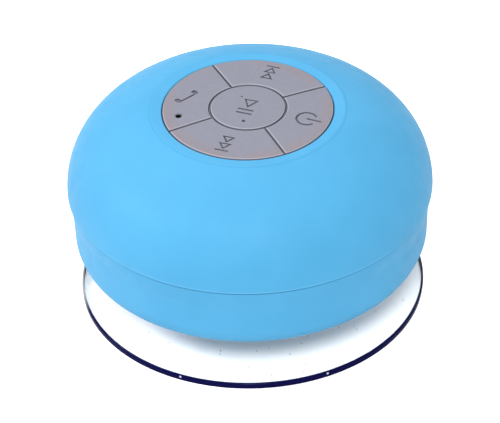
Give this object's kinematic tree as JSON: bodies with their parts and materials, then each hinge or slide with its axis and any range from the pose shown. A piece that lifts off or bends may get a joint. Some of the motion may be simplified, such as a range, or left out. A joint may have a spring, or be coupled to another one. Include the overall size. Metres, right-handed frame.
{
  "type": "shower speaker",
  "caption": "Round water-resistant speaker with a domed body, a crowned top keypad, a rear charging port and a clear suction cup foot.",
  "frame": {"origin": "centre of the suction cup's lip, on the plane that the lip rests on", "axes": "+Z along the axis, out through the keypad; +Y from the centre towards the power key; the charging port faces -Y"},
  "size_m": [0.086, 0.086, 0.0506],
  "materials": {
    "clear_pvc": "clear soft PVC",
    "clear_plastic": "clear polycarbonate",
    "blue_shell": "soft-touch coating",
    "blue_rubber": "matte",
    "black_rubber": "matte",
    "steel_screw": "satin",
    "black_cloth": "woven",
    "pressed_steel": "satin black",
    "paper_cone": "pressed paper",
    "brown_former": "film",
    "copper": "enamelled copper",
    "amber_cloth": "resin-treated cloth",
    "zinc_steel": "plated",
    "ferrite": "ground ferrite",
    "brown_board": "phenolic",
    "grey_silicone": "matte silicone",
    "black_plastic": "moulded",
    "green_board": "solder mask",
    "chip_plastic": "moulded",
    "tan_ceramic": "fired ceramic",
    "white_plastic": "nylon",
    "silver_pouch": "laminated foil",
    "black_foam": "closed-cell foam",
    "red_insulation": "PVC",
    "black_insulation": "PVC"
  },
  "bodies": {
    "cup": {"suction_cup": "clear_pvc"},
    "hub": {"cup_hub": "clear_plastic"},
    "housing": {"amplifier_chip": "chip_plastic", "battery": "silver_pouch", "battery_connector": "white_plastic", "battery_foam": "black_foam", "battery_wire_black": "black_insulation", "battery_wire_red": "red_insulation", "bluetooth_module": "zinc_steel", "board_capacitors": "tan_ceramic", "board_screws": "steel_screw", "charge_board": "green_board", "charge_board_screws": "steel_screw", "charge_wire_black": "black_insulation", "charge_wire_red": "red_insulation", "crystal": "zinc_steel", "grille_mesh": "black_cloth", "housing_screws": "steel_screw", "housing_seal": "black_rubber", "hub_socket": "blue_shell", "keypad_frame": "black_plastic", "keypad_mat": "grey_silicone", "light_pipe": "clear_plastic", "lower_housing": "blue_shell", "main_board": "green_board", "microphone": "black_cloth", "microphone_boot": "black_rubber", "speaker_connector": "white_plastic", "speaker_frame": "pressed_steel", "speaker_gasket": "black_rubber", "speaker_magnet": "ferrite", "speaker_screws": "steel_screw", "speaker_spider": "amber_cloth", "speaker_surround": "black_rubber", "speaker_terminal": "brown_board", "speaker_top_plate": "zinc_steel", "speaker_wire_black": "black_insulation", "speaker_wire_red": "red_insulation", "speaker_yoke": "zinc_steel", "status_led": "white_plastic", "switch_bodies": "zinc_steel", "tinsel_leads": "copper", "upper_housing": "blue_shell", "usb_shell": "zinc_steel", "usb_tongue": "chip_plastic"},
    "power_key": {"key_power": "grey_silicone", "plunger_power": "black_plastic"},
    "call_key": {"key_call": "grey_silicone", "plunger_call": "black_plastic"},
    "previous_key": {"key_previous": "grey_silicone", "plunger_previous": "black_plastic"},
    "next_key": {"key_next": "grey_silicone", "plunger_next": "black_plastic"},
    "play_key": {"key_play": "grey_silicone", "plunger_play": "black_plastic"},
    "cone": {"speaker_cone": "paper_cone", "dust_cap": "paper_cone", "voice_coil_former": "brown_former", "voice_coil": "copper"},
    "plug": {"port_plug": "blue_rubber"}
  },
  "joints": [
    {"name": "cup_press", "type": "slide", "parent": "cup", "child": "hub", "axis": [0, 0, 1], "range_m": [-0.002, 0], "stiffness_N_per_m": 8000, "springref_m": 0.0004, "deforming": ["suction_cup"]},
    {"name": "housing_swivel", "type": "hinge", "parent": "hub", "child": "housing", "pos_m": [0, 0, 0.0105], "axis": [0, 0, 1], "continuous": true},
    {"name": "power_press", "type": "slide", "parent": "housing", "child": "power_key", "axis": [0, 0, -1], "range_m": [0, 0.0005], "stiffness_N_per_m": 3000, "springref_m": -0.0001},
    {"name": "call_press", "type": "slide", "parent": "housing", "child": "call_key", "axis": [0, 0, -1], "range_m": [0, 0.0005], "stiffness_N_per_m": 3000, "springref_m": -0.0001},
    {"name": "previous_press", "type": "slide", "parent": "housing", "child": "previous_key", "axis": [0, 0, -1], "range_m": [0, 0.0005], "stiffness_N_per_m": 3000, "springref_m": -0.0001},
    {"name": "next_press", "type": "slide", "parent": "housing", "child": "next_key", "axis": [0, 0, -1], "range_m": [0, 0.0005], "stiffness_N_per_m": 3000, "springref_m": -0.0001},
    {"name": "play_press", "type": "slide", "parent": "housing", "child": "play_key", "axis": [0, 0, -1], "range_m": [0, 0.0005], "stiffness_N_per_m": 3000, "springref_m": -0.0001},
    {"name": "cone_stroke", "type": "slide", "parent": "housing", "child": "cone", "axis": [0, 0, -1], "range_m": [-0.0005, 0.0005], "stiffness_N_per_m": 1500, "deforming": ["speaker_surround", "speaker_spider", "tinsel_leads"]},
    {"name": "plug_hinge", "type": "hinge", "parent": "housing", "child": "plug", "pos_m": [0.008, -0.0399, 0.0185], "axis": [0, 0, 1], "range_deg": [0, 90]}
  ]
}
